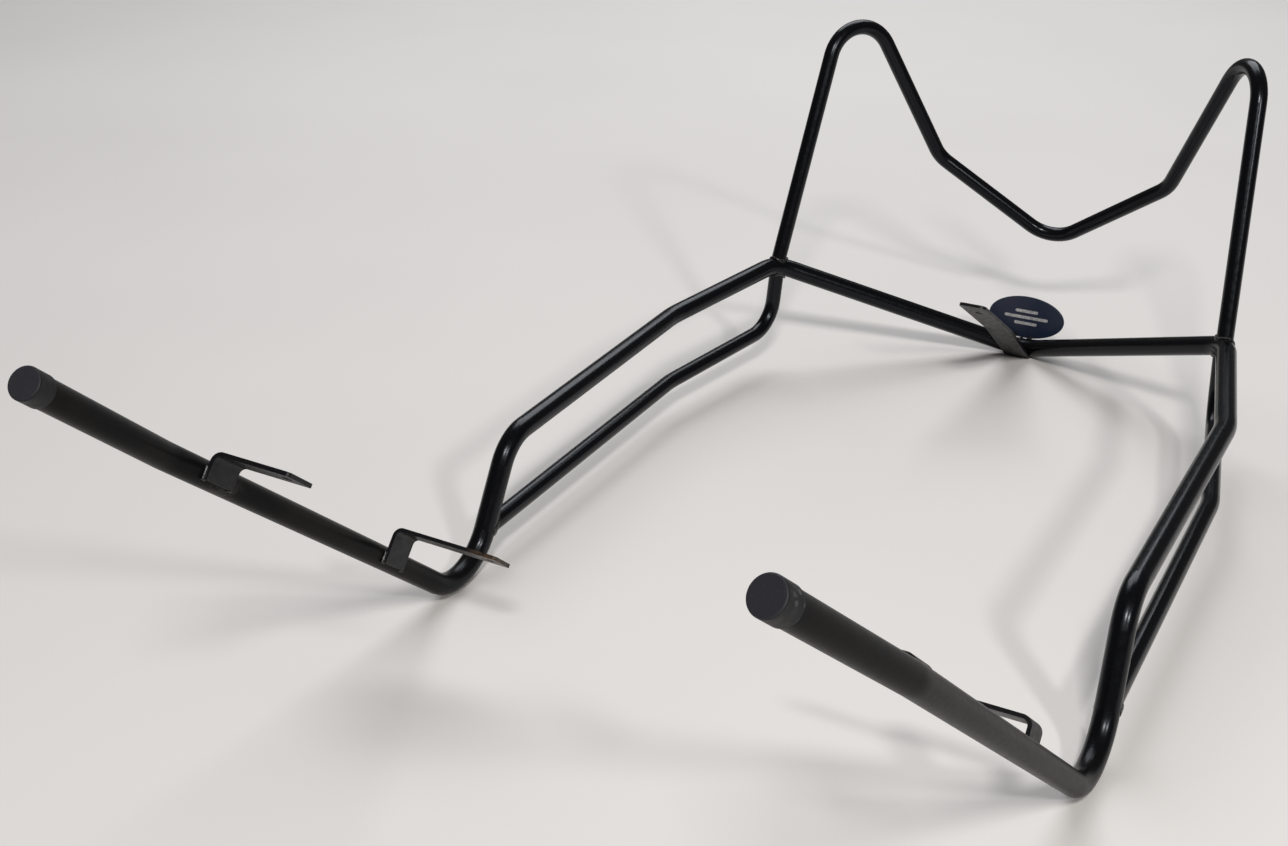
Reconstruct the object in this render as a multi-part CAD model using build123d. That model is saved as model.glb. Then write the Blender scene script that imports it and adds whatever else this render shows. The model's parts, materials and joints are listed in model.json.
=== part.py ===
from build123d import *
import math
import os

# ---------------------------------------------------------------------------
# Driving dimensions, in millimetres.
# Design frame: X across the rack, Y towards the back loop, Z up, with the two
# rear corners of the main frame on the line Y = 0.  The finished parts are
# moved at the end, so that the origin is on the floor under the rack's middle.
# Every point below is on the right-hand half; the left half is its mirror.
# ---------------------------------------------------------------------------
MAIN_R = 9.5  # outer radius of the 19 mm main tube
THIN_R = 8.0  # outer radius of the 16 mm tube of the loop and the braces
WALL = 1.5  # wall thickness of both tubes
BEND_R = 40.0  # centreline radius of the bending tool
FOOT_BEND_R = 49.0  # centreline radius where the arm turns up into the riser
SLIGHT_BEND_R = 90.0  # centreline radius of the arms' and rails' slight bends

# Main tube: centreline corners from the arm's tip to the crossbar's middle.
ARM_TIP = Vector(220, -987, 382)
ARM_BEND = Vector(247, -879, 282)
FOOT_CORNER = Vector(276, -547, -20)
RISER_TOP = Vector(270, -478, 108)
RAIL_BEND = Vector(275, -171, 110)
REAR_CORNER = Vector(240, 1, 115)
CROSSBAR_DIP = Vector(0, 153, 3)

# Back loop: from the top of the rear corner, over the peak, to the dip.
LOOP_FOOT = Vector(238, 1, 114)
LOOP_PEAK = Vector(214, 124, 411)
LOOP_KINK = Vector(128, 196, 200)
LOOP_DIP = Vector(0, 237, 105)

# Brace: from below the rear corner, forward to the riser.
BRACE_TOP = Vector(237, 0, 113)
BRACE_BEND = Vector(241, -8, 44)
BRACE_KINK = Vector(274, -180, 39)
BRACE_END_RISE = 0.43  # where it meets the riser, as a fraction of the riser
BRACE_BEND_R = 36.0

# End caps: a thin cup pushed over the arm's end.
CAP_FACE = 2.5  # thickness of the flat end
CAP_LENGTH = 15.0
CAP_WALL = 0.7
CAP_GAP = 0.02  # between the cup and the tube
CAP_RIM_R = 1.2

# Tabs: 30 x 3 mm flat bar with a bolt hole near the tip.
TAB_W = 30.0
TAB_T = 3.0
TAB_BEND_R = 6.0  # midline radius of the right-angle bend
TAB_KNEE_R = 15.0  # midline radius of the centre tab's slight bend
TAB_CORNER_R = 3.0
TAB_HOLE_R = 3.5
TAB_HOLE_EDGE = 11.0
TAB_FOOT = 4.0  # how far an arm tab reaches past the arm's axis
TAB_GAP = 0.02  # keeps flat bar and round tube from sharing a line

FRONT_TAB_AT = 48.0  # along the arm, from the arm's bend to the tab's middle
FRONT_TAB_RISE = 16.0  # top face above the arm's axis
FRONT_TAB_REACH = 70.0  # from the arm's axis to the tip
REAR_TAB_AT = 293.0
REAR_TAB_RISE = 26.0
REAR_TAB_REACH = 101.0

CENTRE_TAB_W = 28.0
CENTRE_TAB_KNEE = Vector(0, 54, 65)
CENTRE_TAB_TIP = Vector(0, -46, 128)
CENTRE_TAB_HOLE_EDGE = 30.0

# Badge: an oval plate standing on the back of the crossbar's middle.
BADGE_A = 43.0
BADGE_B = 24.0
BADGE_T = 2.0
BADGE_EDGE_R = 0.6
BADGE_RISE = 30.0  # its centre above the crossbar's axis
BADGE_LEAN = 6.0  # lean of its top edge towards the back, in degrees
BADGE_BARS = ((7.0, 26.0), (0.0, 50.0), (-7.0, 26.0))  # height and length of each
BADGE_BAR_W = 3.4
BADGE_BAR_PROUD = 0.3
BADGE_TACK_X = 9.0

# Weld beads.
BEAD = 2.1  # how far a fillet bead spreads over each tube
TAB_BEAD_R = 2.2
TAB_BEAD_HALF = 5.0
BUTT_BEAD_R = 1.5
TACK_R = 2.6

BEYOND = 3000.0  # larger than the whole rack


def flipped(point):
    """The left-hand twin of a right-hand point."""
    return Vector(-point.X, point.Y, point.Z)


def unit(start, end):
    """Unit vector from start to end."""
    return (end - start).normalized()


def bend_middle(before, corner, after, radius):
    """Middle of the arc that rounds a corner of a centreline."""
    to_before = unit(corner, before)
    to_after = unit(corner, after)
    half_turn = math.radians(180 - to_before.get_angle(to_after)) / 2
    offset = radius / math.cos(half_turn) - radius
    return corner + (to_before + to_after).normalized() * offset


def path_through(points, radii):
    """Straight runs through the points, joined by tangent arcs."""
    return FilletPolyline(*points, radius=radii)


def rod_along(path, radius):
    """Solid round bar swept along a path."""
    start = Plane(path @ 0, z_dir=path % 0)
    return sweep(start * Circle(radius), path=path)


def tube_along(path, radius):
    """Round tube swept along a path, open at both ends."""
    start = Plane(path @ 0, z_dir=path % 0)
    return sweep(start * (Circle(radius) - Circle(radius - WALL)), path=path)


def rod_between(start, end, radius):
    """Solid round bar between two points."""
    along = Plane(start, z_dir=end - start)
    grow_up = (Align.CENTER, Align.CENTER, Align.MIN)
    return along * Cylinder(radius, (end - start).length, align=grow_up)


def mirror_left(shape):
    """The left-hand twin of a right-hand shape."""
    return mirror(shape, about=Plane.YZ)


def biggest(shape):
    """The largest solid of a cut shape, without any loose scraps."""
    return max(shape.solids(), key=lambda solid: solid.volume)


def right_of_middle(shape):
    """The part of a shape on the right-hand side of the middle plane."""
    half = Box(BEYOND, BEYOND, BEYOND, align=(Align.MIN, Align.CENTER, Align.CENTER))
    return shape & half


# --- main tube --------------------------------------------------------------
def main_path():
    """Centreline of the whole main tube, from the right cap to the left cap."""
    tube_end = ARM_TIP + unit(ARM_TIP, ARM_BEND) * CAP_FACE
    right = [tube_end, ARM_BEND, FOOT_CORNER, RISER_TOP, RAIL_BEND, REAR_CORNER]
    radii = [SLIGHT_BEND_R, FOOT_BEND_R, BEND_R, SLIGHT_BEND_R, BEND_R]
    left = [flipped(point) for point in reversed(right)]
    return path_through(right + [CROSSBAR_DIP] + left, radii + [BEND_R] + radii[::-1])


def main_tubes(path):
    """The two bent halves, which meet at the crossbar's middle."""
    right = biggest(right_of_middle(tube_along(path, MAIN_R)))
    return right, mirror_left(right)


# --- loop and braces --------------------------------------------------------
def loop_path():
    """Centreline of the back loop, from foot to foot."""
    right = [LOOP_FOOT, LOOP_PEAK, LOOP_KINK]
    left = [flipped(point) for point in reversed(right)]
    radii = [BEND_R, BEND_R]
    return path_through(right + [LOOP_DIP] + left, radii + [BEND_R] + radii)


def brace_end():
    """Where the brace's centreline meets the riser's."""
    return FOOT_CORNER + (RISER_TOP - FOOT_CORNER) * BRACE_END_RISE


def brace_path():
    """Centreline of the right brace, from the rear corner to the riser."""
    points = [BRACE_TOP, BRACE_BEND, BRACE_KINK, brace_end()]
    return path_through(points, [BRACE_BEND_R, SLIGHT_BEND_R])


def coped(path, main_rod):
    """Thin tube along a path, with its ends shaped to sit on the main tube."""
    return biggest(tube_along(path, THIN_R) - main_rod)


# --- welds around the thin tubes' ends --------------------------------------
def fillet_bead(axis_start, axis_end, wide_main, main_rod):
    """Bead around the joint of a thin tube that leaves the main tube's axis."""
    reach = axis_start + unit(axis_start, axis_end) * (MAIN_R + 3 * BEAD)
    collar = rod_between(axis_start, reach, THIN_R + BEAD)
    core = rod_between(axis_start, reach, THIN_R)
    return biggest((collar & wide_main) - core - main_rod)


# --- end caps ---------------------------------------------------------------
def end_cap():
    """Cup on the right arm's end, closed by a flat face with a rounded rim."""
    seat = Plane(ARM_TIP, z_dir=unit(ARM_TIP, ARM_BEND))
    grow_in = (Align.CENTER, Align.CENTER, Align.MIN)
    inner = MAIN_R + CAP_GAP
    cup = Cylinder(inner + CAP_WALL, CAP_LENGTH, align=grow_in)
    cup = fillet(cup.edges().sort_by(Axis.Z)[0], CAP_RIM_R)
    cup = cup - Pos(0, 0, CAP_FACE) * Cylinder(inner, CAP_LENGTH, align=grow_in)
    return seat * cup.solid()


# --- arm tabs ---------------------------------------------------------------
def arm_frame(along):
    """Plane on the right arm's axis: X inward, Y up off the arm, Z to the foot."""
    direction = unit(ARM_BEND, FOOT_CORNER)
    origin = ARM_BEND + direction * along
    inward = Vector(-1, 0, 0)
    inward = (inward - direction * inward.dot(direction)).normalized()
    return Plane(origin, x_dir=inward, z_dir=direction)


def arm_tab(along, rise, reach):
    """Bent tab on the arm's inner side, with the hole's place and direction."""
    leg_x = MAIN_R + TAB_GAP + TAB_T / 2
    top_y = rise - TAB_T / 2
    points = [Vector(leg_x, -TAB_FOOT), Vector(leg_x, top_y), Vector(reach, top_y)]
    path = path_through(points, [TAB_BEND_R])
    section = Plane(path @ 0, x_dir=(0, 0, 1), z_dir=path % 0) * Rectangle(TAB_W, TAB_T)
    bar = sweep(section, path=path)
    ends = bar.faces().sort_by_distance(path @ 1)[0].edges().filter_by(Axis.Z, reverse=True)
    bar = fillet(ends, TAB_CORNER_R)
    normal = Vector(0, 1)
    hole_at = points[-1] - Vector(TAB_HOLE_EDGE, 0)
    bar = bar - rod_between(hole_at - normal * TAB_T, hole_at + normal * TAB_T, TAB_HOLE_R)
    place = arm_frame(along)
    centre = place.from_local_coords(hole_at)
    outward = place.from_local_coords(hole_at + normal) - centre
    return place.location * bar.solid(), centre, outward


def tab_beads(along, tab, main_rod):
    """Beads up the front and rear edges of an arm tab's foot."""
    beads = []
    place = arm_frame(along)
    for edge in (-1, 1):
        low = Vector(MAIN_R, -TAB_BEAD_HALF, edge * TAB_W / 2)
        high = Vector(MAIN_R, TAB_BEAD_HALF, edge * TAB_W / 2)
        ends = [place.from_local_coords(point) for point in (low, high)]
        bead = rod_between(*ends, TAB_BEAD_R) - main_rod - tab
        beads.append(biggest(bead))
    return beads


# --- centre tab, butt weld and badge -----------------------------------------
def crossbar_middle():
    """Middle of the crossbar's centreline bend."""
    return bend_middle(REAR_CORNER, CROSSBAR_DIP, flipped(REAR_CORNER), BEND_R)


def centre_tab(main_rod):
    """Flat bar under the crossbar's middle, rising forward to its bolt hole."""
    middle = crossbar_middle()
    span = CENTRE_TAB_KNEE - middle
    stand_off = MAIN_R + TAB_GAP + TAB_T / 2
    lean = math.degrees(math.asin(stand_off / span.length))
    along = span.rotate(Axis.X, -lean).normalized()
    start = CENTRE_TAB_KNEE - along * math.sqrt(span.length**2 - stand_off**2)
    path = path_through([start, CENTRE_TAB_KNEE, CENTRE_TAB_TIP], [TAB_KNEE_R])
    section = Plane(start, x_dir=(1, 0, 0), z_dir=along) * Rectangle(CENTRE_TAB_W, TAB_T)
    bar = sweep(section, path=path)
    tip_face = bar.faces().sort_by_distance(CENTRE_TAB_TIP)[0]
    bar = fillet(tip_face.edges().filter_by(Axis.X, reverse=True), 2 * TAB_CORNER_R)
    tip_run = unit(CENTRE_TAB_KNEE, CENTRE_TAB_TIP)
    normal = tip_run.cross(Vector(1, 0, 0)).normalized()
    hole_at = CENTRE_TAB_TIP - tip_run * CENTRE_TAB_HOLE_EDGE
    hole = rod_between(hole_at - normal * TAB_T, hole_at + normal * TAB_T, TAB_HOLE_R)
    return biggest(bar - hole - main_rod), hole_at, normal


def butt_bead(main_rod, tab):
    """Bead over the top of the joint between the two main tubes."""
    middle = crossbar_middle()
    ring = Plane(middle, z_dir=(1, 0, 0)) * Torus(MAIN_R, BUTT_BEAD_R)
    above = Box(BEYOND, BEYOND, BEYOND, align=(Align.CENTER, Align.CENTER, Align.MIN))
    above = Pos(middle) * above
    return biggest((ring & above) - main_rod - tab)


def badge_frame():
    """Plane of the badge: X across, Y up its face, Z out of its front."""
    middle = crossbar_middle()
    lean = math.radians(BADGE_LEAN)
    up = Vector(0, math.sin(lean), math.cos(lean))
    behind = MAIN_R + BUTT_BEAD_R + BADGE_T / 2
    origin = middle + Vector(0, behind, 0) + up * BADGE_RISE
    return Plane(origin, x_dir=(1, 0, 0), z_dir=Vector(1, 0, 0).cross(up))


def badge():
    """Oval plate and the plain bars that are let into both of its faces."""
    place = badge_frame().location
    plate = extrude(Ellipse(BADGE_A, BADGE_B), BADGE_T / 2, both=True)
    rims = plate.edges().filter_by(lambda edge: edge.length > BADGE_A)
    plate = fillet(rims, BADGE_EDGE_R)
    bars = []
    for height, length in BADGE_BARS:
        outline = Pos(0, height) * SlotOverall(length, BADGE_BAR_W)
        plate = plate - extrude(outline, BADGE_T, both=True)
        bars.append(place * extrude(outline, BADGE_T / 2 + BADGE_BAR_PROUD, both=True))
    return place * plate.solid(), bars


def badge_tacks(plate, main_rod, bead):
    """Two tack welds between the badge's lower edge and the crossbar."""
    middle = crossbar_middle()
    tacks = []
    for side in (-1, 1):
        foot = Vector(side * BADGE_TACK_X, middle.Y, middle.Z + MAIN_R)
        top = Vector(side * BADGE_TACK_X, middle.Y + MAIN_R + BUTT_BEAD_R, middle.Z + MAIN_R)
        tack = rod_between(foot, top, TACK_R) - main_rod - plate - bead
        tacks.append(biggest(tack))
    return tacks


# --- assembly -----------------------------------------------------------------
def build():
    """Every node of the rack in the design frame, and the bolt holes."""
    path = main_path()
    main_rod = rod_along(path, MAIN_R)
    wide_main = rod_along(path, MAIN_R + BEAD)
    right_main, left_main = main_tubes(path)
    right_brace = coped(brace_path(), main_rod)
    right_cap = end_cap()
    nodes = {
        "right_main_tube": right_main,
        "left_main_tube": left_main,
        "back_loop": coped(loop_path(), main_rod),
        "right_brace": right_brace,
        "left_brace": mirror_left(right_brace),
        "right_end_cap": right_cap,
        "left_end_cap": mirror_left(right_cap),
    }

    loop_rod = rod_along(loop_path(), THIN_R)
    foot_bead = fillet_bead(LOOP_FOOT, LOOP_PEAK, wide_main, main_rod)
    top_bead = fillet_bead(BRACE_TOP, BRACE_BEND, wide_main, main_rod)
    beads = {
        "loop_foot_weld": foot_bead,
        "brace_top_weld": biggest(top_bead - foot_bead - loop_rod),
        "brace_front_weld": fillet_bead(brace_end(), BRACE_KINK, wide_main, main_rod),
    }
    for name, bead in beads.items():
        nodes["right_" + name] = bead
        nodes["left_" + name] = mirror_left(bead)

    holes = {}
    tabs = {
        "front_tab": (FRONT_TAB_AT, FRONT_TAB_RISE, FRONT_TAB_REACH),
        "rear_tab": (REAR_TAB_AT, REAR_TAB_RISE, REAR_TAB_REACH),
    }
    for name, sizes in tabs.items():
        tab, centre, normal = arm_tab(*sizes)
        nodes["right_" + name] = tab
        nodes["left_" + name] = mirror_left(tab)
        pair = tab_beads(sizes[0], tab, main_rod)
        nodes["right_" + name + "_welds"] = Compound(pair)
        nodes["left_" + name + "_welds"] = Compound([mirror_left(bead) for bead in pair])
        holes["right_" + name] = (centre, normal)
        holes["left_" + name] = (flipped(centre), flipped(normal))

    tab, centre, normal = centre_tab(main_rod)
    holes["centre_tab"] = (centre, normal)
    bead = butt_bead(main_rod, tab)
    plate, bars = badge()
    nodes["centre_tab"] = tab
    nodes["crossbar_butt_weld"] = bead
    nodes["badge_plate"] = plate
    nodes["badge_bars"] = Compound(bars)
    nodes["badge_tack_welds"] = Compound(badge_tacks(plate, main_rod, bead))
    return nodes, holes


def main():
    os.makedirs("parts", exist_ok=True)
    nodes, holes = build()
    box = Compound(list(nodes.values())).bounding_box()
    to_row = Pos(0, -box.center().Y, -box.min.Z)
    for name, shape in nodes.items():
        export_step(to_row * shape, f"parts/{name}.step")
    for name, (centre, normal) in holes.items():
        place = (to_row * Pos(centre)).position
        print(name, "hole at", tuple(place), "along", tuple(normal))
    print("box", box.size, "moved by", to_row.position)


main()
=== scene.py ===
import json
import math
import random

import bpy
import numpy as np
from mathutils import Matrix, Vector, noise


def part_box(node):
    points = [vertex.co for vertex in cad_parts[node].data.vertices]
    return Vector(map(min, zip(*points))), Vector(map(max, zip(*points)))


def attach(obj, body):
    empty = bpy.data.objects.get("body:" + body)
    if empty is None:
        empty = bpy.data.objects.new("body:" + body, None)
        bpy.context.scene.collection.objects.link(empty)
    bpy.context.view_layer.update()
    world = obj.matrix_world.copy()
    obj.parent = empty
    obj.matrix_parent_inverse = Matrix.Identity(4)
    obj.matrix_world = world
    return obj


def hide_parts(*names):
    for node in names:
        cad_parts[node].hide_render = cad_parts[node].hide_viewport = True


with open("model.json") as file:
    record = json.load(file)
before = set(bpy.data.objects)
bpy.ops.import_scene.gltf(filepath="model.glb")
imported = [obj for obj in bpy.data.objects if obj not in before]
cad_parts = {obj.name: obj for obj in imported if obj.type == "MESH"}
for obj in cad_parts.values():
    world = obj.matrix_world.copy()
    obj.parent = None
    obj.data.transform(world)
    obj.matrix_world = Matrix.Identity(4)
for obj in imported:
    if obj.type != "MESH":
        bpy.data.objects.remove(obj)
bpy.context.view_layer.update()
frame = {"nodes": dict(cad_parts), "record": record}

MM = 0.001
BODY = "root"
SEED = 41
NODES = frame["nodes"]


# --- small helpers ------------------------------------------------------------
def link(obj):
    """Puts a new object in the scene."""
    bpy.context.scene.collection.objects.link(obj)
    return obj


# --- camera -------------------------------------------------------------------
CAMERA_AT = Vector((0.4519, -1.1070, 0.7338))
CAMERA_LOOK = Vector((-0.4499, 0.7741, -0.4454))
CAMERA_ROLL = math.radians(-0.97)
CAMERA_LENS = 44.05
SENSOR = 36.0


def make_camera():
    """Looks down over the arms, from their right-hand end."""
    data = bpy.data.cameras.new("camera")
    data.lens = CAMERA_LENS
    data.sensor_width = SENSOR
    camera = link(bpy.data.objects.new("camera", data))
    turn = CAMERA_LOOK.to_track_quat("-Z", "Y").to_matrix()
    roll = Matrix.Rotation(CAMERA_ROLL, 3, "Z")
    camera.matrix_world = Matrix.Translation(CAMERA_AT) @ (turn @ roll).to_4x4()
    bpy.context.scene.camera = camera


# --- light and floor ------------------------------------------------------------
LAMP_AIM = (0, -0.1, 0.1)
# name: place, size, watts, colour
LAMPS = {
    "front_window": ((1.15, -2.3, 2.8), (0.55, 0.45), 60, (1.0, 0.97, 0.94)),
    "side_window": ((2.5, -1.7, 2.2), (0.3, 0.3), 34, (1.0, 0.98, 0.96)),
    "ceiling": ((-1.1, 2.5, 3.3), (3.4, 2.6), 108, (0.95, 0.97, 1.0)),
}
ROOM_COLOUR = (0.96, 0.95, 0.95, 1)
ROOM_STRENGTH = 0.10
FLOOR_HALF = 8.0


def make_light(name, at, size, power, colour):
    """A soft rectangular lamp that points at the rack."""
    data = bpy.data.lights.new(name, "AREA")
    data.shape = "RECTANGLE"
    data.size, data.size_y = size
    data.energy = power
    data.color = colour
    lamp = link(bpy.data.objects.new(name, data))
    lamp.location = at
    lamp.rotation_euler = (Vector(LAMP_AIM) - Vector(at)).to_track_quat("-Z", "Y").to_euler()


def make_stage():
    """Plain pale floor, soft lamps in front and above, and a dim pale room."""
    mesh = bpy.data.meshes.new("floor")
    far = FLOOR_HALF
    corners = [(-far, -far, 0), (far, -far, 0), (far, far, 0), (-far, far, 0)]
    mesh.from_pydata(corners, [], [(0, 1, 2, 3)])
    floor = link(bpy.data.objects.new("floor", mesh))
    floor.data.materials.append(floor_material())

    for name, (at, size, power, colour) in LAMPS.items():
        make_light(name, at, size, power, colour)
    world = bpy.data.worlds.new("room")
    world.use_nodes = True
    background = world.node_tree.nodes["Background"]
    background.inputs["Color"].default_value = ROOM_COLOUR
    background.inputs["Strength"].default_value = ROOM_STRENGTH
    bpy.context.scene.world = world
    bpy.context.scene.view_settings.view_transform = "Standard"


# --- materials ------------------------------------------------------------------
NOISE_ROUGHNESS = 0.55
FACING = (0.55, 0.85)  # from not facing to fully facing a direction, as cosines


class Nodes:
    """Shader nodes of one material, in row-frame metres."""

    def __init__(self, name):
        self.material = bpy.data.materials.new(name)
        self.material.use_nodes = True
        self.tree = self.material.node_tree
        self.shader = self.tree.nodes["Principled BSDF"]
        self.place = self.add("ShaderNodeTexCoord").outputs["Object"]

    def add(self, kind, **settings):
        node = self.tree.nodes.new(kind)
        for key, value in settings.items():
            setattr(node, key, value)
        return node

    def put(self, socket, value):
        """Links an output to a socket, or sets the socket's own value."""
        if isinstance(value, bpy.types.NodeSocket):
            self.tree.links.new(value, socket)
        else:
            socket.default_value = value

    def noise(self, scale, detail=3.0, stretch=None):
        """Fractal noise from 0 to 1; scale is cycles per metre."""
        node = self.add("ShaderNodeTexNoise")
        node.inputs["Scale"].default_value = scale
        node.inputs["Detail"].default_value = detail
        node.inputs["Roughness"].default_value = NOISE_ROUGHNESS
        place = self.place
        if stretch:
            mapping = self.add("ShaderNodeMapping")
            mapping.inputs["Scale"].default_value = stretch
            self.put(mapping.inputs["Vector"], place)
            place = mapping.outputs["Vector"]
        self.put(node.inputs["Vector"], place)
        return node.outputs["Fac"]

    def spots(self, scale, size, soft):
        """1 inside scattered round spots of a Voronoi pattern, else 0."""
        node = self.add("ShaderNodeTexVoronoi")
        node.inputs["Scale"].default_value = scale
        self.put(node.inputs["Vector"], self.place)
        return self.ramp(node.outputs["Distance"], size + soft, size)

    def ramp(self, value, low, high, out_low=0.0, out_high=1.0):
        """Maps low..high smoothly to out_low..out_high."""
        node = self.add("ShaderNodeMapRange", interpolation_type="SMOOTHSTEP")
        self.put(node.inputs["Value"], value)
        flip = low > high
        node.inputs["From Min"].default_value = min(low, high)
        node.inputs["From Max"].default_value = max(low, high)
        node.inputs["To Min"].default_value = out_high if flip else out_low
        node.inputs["To Max"].default_value = out_low if flip else out_high
        return node.outputs["Result"]

    def math(self, operation, first, second):
        node = self.add("ShaderNodeMath", operation=operation)
        self.put(node.inputs[0], first)
        self.put(node.inputs[1], second)
        return node.outputs["Value"]

    def mix(self, factor, first, second):
        """Colour between first and second."""
        node = self.add("ShaderNodeMix", data_type="RGBA")
        colours = [socket for socket in node.inputs if socket.type == "RGBA"]
        self.put(node.inputs["Factor"], factor)
        self.put(colours[0], first)
        self.put(colours[1], second)
        return [socket for socket in node.outputs if socket.type == "RGBA"][0]

    def axis(self, name):
        """One coordinate of the place, in metres."""
        node = self.add("ShaderNodeSeparateXYZ")
        self.put(node.inputs["Vector"], self.place)
        return node.outputs[name]

    def bump(self, height, distance, strength, under=None):
        """Normal of a height field, whose full range is distance metres."""
        node = self.add("ShaderNodeBump")
        node.inputs["Distance"].default_value = distance
        node.inputs["Strength"].default_value = strength
        self.put(node.inputs["Height"], height)
        if under:
            self.put(node.inputs["Normal"], under)
        return node.outputs["Normal"]

    def near(self, point, reach, fade):
        """1 within reach of a point, falling to 0 at fade."""
        node = self.add("ShaderNodeVectorMath", operation="DISTANCE")
        self.put(node.inputs[0], self.place)
        node.inputs[1].default_value = point
        return self.ramp(node.outputs["Value"], fade, reach)

    def faces(self, direction):
        """1 where the surface faces a direction, 0 where it faces sideways."""
        geometry = self.add("ShaderNodeNewGeometry")
        node = self.add("ShaderNodeVectorMath", operation="DOT_PRODUCT")
        self.put(node.inputs[0], geometry.outputs["Normal"])
        node.inputs[1].default_value = direction
        return self.ramp(node.outputs["Value"], *FACING)

    def blend(self, factor, first, second):
        """Number between first and second."""
        node = self.add("ShaderNodeMix", data_type="FLOAT")
        self.put(node.inputs["Factor"], factor)
        self.put(node.inputs["A"], first)
        self.put(node.inputs["B"], second)
        return node.outputs["Result"]

    def finish(self, colour, roughness, normal=None, metallic=0.0, specular=0.5):
        self.put(self.shader.inputs["Base Color"], colour)
        self.put(self.shader.inputs["Roughness"], roughness)
        self.shader.inputs["Metallic"].default_value = metallic
        self.put(self.shader.inputs["Specular IOR Level"], specular)
        if normal:
            self.put(self.shader.inputs["Normal"], normal)
        return self.material


def rgb(red, green, blue):
    return (red, green, blue, 1.0)


BLUISH = rgb(0.86, 0.91, 1.0)
ARM_UP = (0.0, -0.735, 0.678)  # the way both arms point, from the side
TAB_TIP_DROP = 10 * MM
FLOOR_SHADES = (rgb(0.76, 0.735, 0.715), rgb(0.84, 0.815, 0.79))
PAINT_SHADES = (rgb(0.0016, 0.0017, 0.0022), rgb(0.0032, 0.0033, 0.0042))
# lighter arm colour: partly dust, partly a painted sheen of light reflected from the floor
ARM_DUSTY_AND_PAINTED_SHEEN = rgb(0.0052, 0.0048, 0.0048)
ARM_DUST = rgb(0.0120, 0.0104, 0.0088)
ARM_SMUDGE = rgb(0.05, 0.046, 0.042)
PAINT_CHIP = rgb(0.07, 0.06, 0.05)
ARM_FADE = (120 * MM, 20 * MM)  # behind the rear tab: still glossy, already dull
SMUDGE_REACH = (4 * MM, 22 * MM)
GLOSSY = (0.19, 0.27)
DULL = (0.32, 0.36)
PAINT_SPECULAR, ARM_SPECULAR = 0.26, 0.045
WELD_HOLLOW_SHADE_TO_CREST = (rgb(0.003, 0.003, 0.0035), rgb(0.009, 0.009, 0.010))
WELD_BARE = rgb(0.06, 0.056, 0.052)
TAB_SHADES = (rgb(0.0035, 0.0035, 0.0045), rgb(0.0075, 0.0075, 0.0095))
TAB_BARE = rgb(0.075, 0.048, 0.030)
TAB_SCRATCH = rgb(0.05, 0.047, 0.045)
TAB_SCRATCH_STRETCH = (1.0, 9.0, 9.0)
TAB_WEAR_REACH = (10 * MM, 30 * MM)
# skirt to face: the skirt's darkness is partly painted shade, the face's lightness partly dust
CAP_SHADED_SKIRT_TO_DUSTY_FACE = (rgb(0.005, 0.005, 0.006), rgb(0.026, 0.027, 0.034))
CAP_CLOUD = rgb(0.012, 0.012, 0.014)
CAP_DUST = rgb(0.08, 0.08, 0.085)
# pale spots painted as highlights on the right cap's ragged skirt edge
CAP_PAINTED_GLINT = rgb(0.085, 0.085, 0.09)
CAP_GLINT_REACH = (8 * MM, 13 * MM)
CAP_GLINT_RIGHT, CAP_GLINT_AHEAD = 4 * MM, 6 * MM
BADGE_SHADES = (rgb(0.008, 0.014, 0.034), rgb(0.014, 0.022, 0.050))
SILVER_SHADES = (rgb(0.62, 0.62, 0.63), rgb(0.36, 0.36, 0.37))


def tab_tip(node, side):
    """Inner end of an arm tab; side is the way its tip points along X."""
    low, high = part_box(node)
    return Vector((high.x if side > 0 else low.x, (low.y + high.y) / 2, high.z - TAB_TIP_DROP))


def tab_foot(node):
    """Lower outer end of a left arm tab, where it is welded to the arm."""
    low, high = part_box(node)
    return Vector((low.x, (low.y + high.y) / 2, low.z))


def floor_material():
    """Plain pale floor with a faint, soft unevenness."""
    n = Nodes("floor")
    cloud = n.noise(1.6, 2.0)
    colour = n.mix(cloud, *FLOOR_SHADES)
    return n.finish(colour, 0.9)


def paint_material():
    """Black enamel on tube: glossy behind the arms, dull and dusty on the arms, which are
    painted lighter for a sheen of floor light.
    """
    n = Nodes("black_paint")
    foot_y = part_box("right_rear_tab")[1].y
    arm = n.ramp(n.axis("Y"), foot_y + ARM_FADE[0], foot_y + ARM_FADE[1])
    cloud = n.noise(14.0, 4.0)
    fine = n.noise(240.0, 3.0)
    dust = n.math("MULTIPLY", n.ramp(cloud, 0.40, 0.70), arm)
    colour = n.mix(cloud, *PAINT_SHADES)
    # arms painted lighter: partly dust, partly a painted sheen of floor light
    colour = n.mix(n.math("MULTIPLY", arm, 0.8), colour, ARM_DUSTY_AND_PAINTED_SHEEN)
    colour = n.mix(n.math("MULTIPLY", dust, 0.5), colour, ARM_DUST)
    near_foot = n.near(tab_foot("left_front_tab"), *SMUDGE_REACH)
    smudge = n.math("MULTIPLY", near_foot, n.ramp(fine, 0.3, 0.6))
    colour = n.mix(n.math("MULTIPLY", smudge, 0.6), colour, ARM_SMUDGE)
    chipped = n.ramp(n.noise(30.0, 2.0), 0.62, 0.67)
    chips = n.math("MULTIPLY", n.spots(110.0, size=0.05, soft=0.03), chipped)
    colour = n.mix(n.math("MULTIPLY", chips, 0.5), colour, PAINT_CHIP)
    gloss = n.ramp(fine, 0.3, 0.7, *GLOSSY)
    dull = n.ramp(fine, 0.3, 0.7, *DULL)
    worn = n.math("MAXIMUM", n.math("MULTIPLY", arm, 0.9), chips)
    normal = n.bump(n.noise(70.0, 2.0), 0.00008, 0.15)
    normal = n.bump(n.noise(700.0, 2.0), 0.00002, 0.2, normal)
    n.shader.inputs["Specular Tint"].default_value = BLUISH
    specular = n.blend(arm, PAINT_SPECULAR, ARM_SPECULAR)
    return n.finish(colour, n.blend(worn, gloss, dull), normal, specular=specular)


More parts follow.
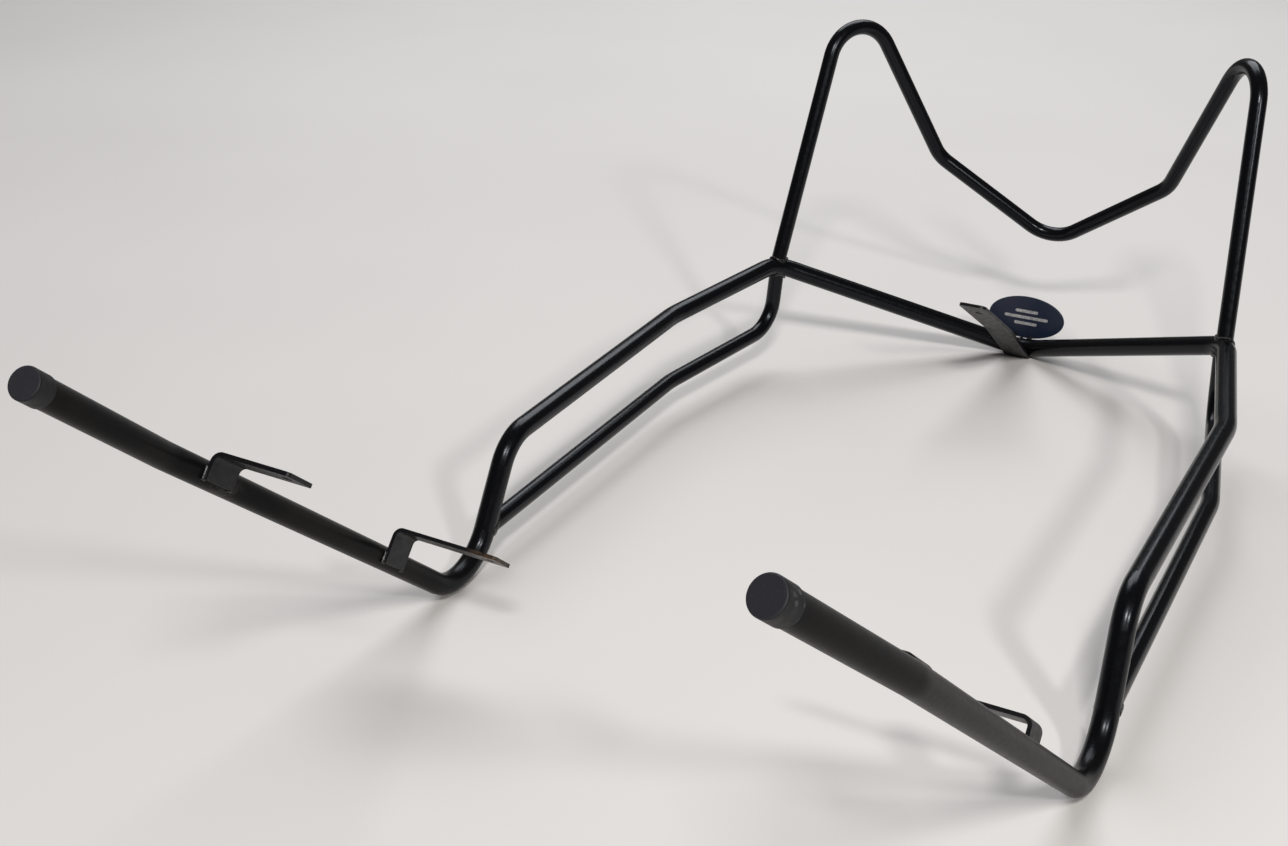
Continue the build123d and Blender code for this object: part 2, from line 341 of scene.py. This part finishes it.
def weld_material():
    """Paint over rough weld metal, with painted shade in its hollows and a few bare specks."""
    n = Nodes("weld_paint")
    grain = n.noise(420.0, 4.0)
    # colour follows the bump's grain: painted shade in the hollows, lighter on the crests
    colour = n.mix(grain, *WELD_HOLLOW_SHADE_TO_CREST)
    bare = n.ramp(n.noise(260.0, 2.0), 0.68, 0.74)
    colour = n.mix(n.math("MULTIPLY", bare, 0.5), colour, WELD_BARE)
    normal = n.bump(grain, 0.0004, 0.5)
    return n.finish(colour, n.ramp(grain, 0.3, 0.7, 0.22, 0.42), normal)


def tab_material():
    """Satin paint on flat bar, worn to brown metal at the rear tabs' tips."""
    n = Nodes("tab_paint")
    cloud = n.noise(40.0, 4.0)
    left_tip = n.near(tab_tip("left_rear_tab", 1), *TAB_WEAR_REACH)
    right_tip = n.near(tab_tip("right_rear_tab", -1), *TAB_WEAR_REACH)
    tips = n.math("MAXIMUM", left_tip, right_tip)
    bare = n.math("MULTIPLY", tips, n.ramp(n.noise(150.0, 4.0), 0.34, 0.58))
    colour = n.mix(cloud, *TAB_SHADES)
    colour = n.mix(bare, colour, TAB_BARE)
    scratched = n.ramp(n.noise(60.0, 3.0, stretch=TAB_SCRATCH_STRETCH), 0.66, 0.74)
    colour = n.mix(n.math("MULTIPLY", scratched, 0.35), colour, TAB_SCRATCH)
    normal = n.bump(n.noise(600.0, 3.0), 0.00006, 0.4)
    return n.finish(colour, n.ramp(n.noise(180.0), 0.3, 0.7, 0.34, 0.48), normal, specular=0.22)


def cap_material():
    """Matte blue-grey rubbery plastic, lighter on its face than on its skirt, partly dust and
    partly painted shade on the skirt, with painted glints on the right cap's skirt.
    """
    n = Nodes("cap_plastic")
    cloud = n.noise(160.0, 4.0)
    # face lighter than skirt: partly dust on the face, partly painted shade on the skirt
    colour = n.mix(n.faces(ARM_UP), *CAP_SHADED_SKIRT_TO_DUSTY_FACE)
    colour = n.mix(n.math("MULTIPLY", cloud, 0.5), colour, CAP_CLOUD)
    dust = n.ramp(n.noise(700.0, 3.0), 0.60, 0.72)
    colour = n.mix(n.math("MULTIPLY", dust, 0.2), colour, CAP_DUST)
    # painted glints: pale spots for highlights on the right cap's ragged skirt edge
    low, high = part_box("right_end_cap")
    across = (low.x + high.x) / 2 + CAP_GLINT_RIGHT
    glint_at = Vector((across, high.y - CAP_GLINT_AHEAD, (low.z + high.z) / 2))
    near_glint = n.near(glint_at, *CAP_GLINT_REACH)
    glints = n.math("MULTIPLY", near_glint, n.spots(210.0, size=0.26, soft=0.06))
    colour = n.mix(n.math("MULTIPLY", glints, 0.7), colour, CAP_PAINTED_GLINT)
    normal = n.bump(n.noise(900.0, 2.0), 0.00008, 0.35)
    return n.finish(colour, n.ramp(cloud, 0.3, 0.7, 0.46, 0.60), normal, specular=0.25)


def badge_material():
    """Satin navy enamel with a fine grain."""
    n = Nodes("badge_navy")
    grain = n.noise(300.0, 3.0)
    colour = n.mix(grain, *BADGE_SHADES)
    normal = n.bump(n.noise(800.0, 2.0), 0.00008, 0.3)
    return n.finish(colour, n.ramp(grain, 0.3, 0.7, 0.34, 0.46), normal)


def silver_material():
    """Satin silver paint, a little dirty."""
    n = Nodes("badge_silver")
    grain = n.noise(500.0, 3.0)
    colour = n.mix(n.ramp(grain, 0.35, 0.7), *SILVER_SHADES)
    normal = n.bump(grain, 0.00008, 0.3)
    return n.finish(colour, n.ramp(grain, 0.3, 0.7, 0.35, 0.5), normal, metallic=0.4)


MATERIALS = {
    "black_paint": paint_material,
    "weld_paint": weld_material,
    "tab_paint": tab_material,
    "cap_plastic": cap_material,
    "badge_navy": badge_material,
    "badge_silver": silver_material,
}


def finish_nodes():
    """Gives every CAD node its slot's procedural material."""
    made = {slot: make() for slot, make in MATERIALS.items()}
    for part in frame["record"]["subparts"]:
        node = NODES[part["node"]]
        node.data.materials.clear()
        node.data.materials.append(made[part["material_slot"]])
    return made


# --- weld beads -------------------------------------------------------------------
VOXEL = 0.45 * MM
RIPPLE_PITCH = 2.4 * MM
RIPPLE_HEIGHT = 0.35 * MM
BEAD_SWELL = -0.35 * MM
BEAD_LUMP = 0.35 * MM
LUMPS_PER_METRE = 260
ROUND_OFF_FACTOR, ROUND_OFF_PASSES = 0.5, 6


def softened(node):
    """The CAD bead's shape, evenly meshed and rounded off."""
    piece = link(bpy.data.objects.new(node + "_bead", NODES[node].data.copy()))
    voxels = piece.modifiers.new("voxels", "REMESH")
    voxels.mode = "VOXEL"
    voxels.voxel_size = VOXEL
    round_off = piece.modifiers.new("round_off", "SMOOTH")
    round_off.factor = ROUND_OFF_FACTOR
    round_off.iterations = ROUND_OFF_PASSES
    shaped = piece.evaluated_get(bpy.context.evaluated_depsgraph_get())
    mesh = bpy.data.meshes.new_from_object(shaped)
    piece.modifiers.clear()
    piece.data = mesh
    return piece


def principal_axes(points):
    """Directions of a point cloud, from its longest to its shortest spread."""
    spread, directions = np.linalg.eigh(np.cov((points - points.mean(0)).T))
    return directions[:, np.argsort(-spread)].T


def lay_ripples(piece, along, rng):
    """Pushes a bead's skin out in overlapping scales; along is metres of travel."""
    mesh = piece.data
    count = len(mesh.vertices)
    normals = np.zeros(count * 3, np.float32)
    points = np.zeros(count * 3, np.float32)
    mesh.vertex_normals.foreach_get("vector", normals)
    mesh.vertices.foreach_get("co", points)
    normals = normals.reshape(-1, 3)
    points = points.reshape(-1, 3)
    start = rng.random() * RIPPLE_PITCH
    phase = ((along + start) / RIPPLE_PITCH) % 1.0
    scales = RIPPLE_HEIGHT * np.sqrt(np.clip(4 * phase * (1 - phase), 0, 1))
    lumps = np.array([noise.noise(Vector(p) * LUMPS_PER_METRE) for p in points]) * BEAD_LUMP
    points += normals * (BEAD_SWELL + scales + lumps)[:, None]
    mesh.vertices.foreach_set("co", points.ravel())
    mesh.update()


def bead_points(piece):
    points = np.zeros(len(piece.data.vertices) * 3, np.float32)
    piece.data.vertices.foreach_get("co", points)
    return points.reshape(-1, 3)


def ring_travel(points):
    """Distance round a ring-shaped bead."""
    long_axis, cross_axis, _ = principal_axes(points)
    centred = points - points.mean(0)
    across, up = centred @ long_axis, centred @ cross_axis
    radius = np.hypot(across, up).mean()
    turns = max(1, round(2 * math.pi * radius / RIPPLE_PITCH))
    return (np.arctan2(up, across) / (2 * math.pi) + 0.5) * turns * RIPPLE_PITCH


def line_travel(points):
    """Distance along a straight bead."""
    long_axis = principal_axes(points)[0]
    return (points - points.mean(0)) @ long_axis


def make_beads(paint):
    """Hand-laid beads in place of the plain CAD ones."""
    rng = random.Random(SEED)
    for name in sorted(NODES):
        if "weld" not in name:
            continue
        piece = softened(name)
        points = bead_points(piece)
        ring = "loop_foot" in name or "brace" in name
        lay_ripples(piece, ring_travel(points) if ring else line_travel(points), rng)
        piece.data.materials.clear()
        piece.data.materials.append(paint)
        piece.data.shade_smooth()
        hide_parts(name)
        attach(piece, BODY)


# --- the scene ----------------------------------------------------------------------
make_camera()
make_stage()
finishes = finish_nodes()
make_beads(finishes["weld_paint"])
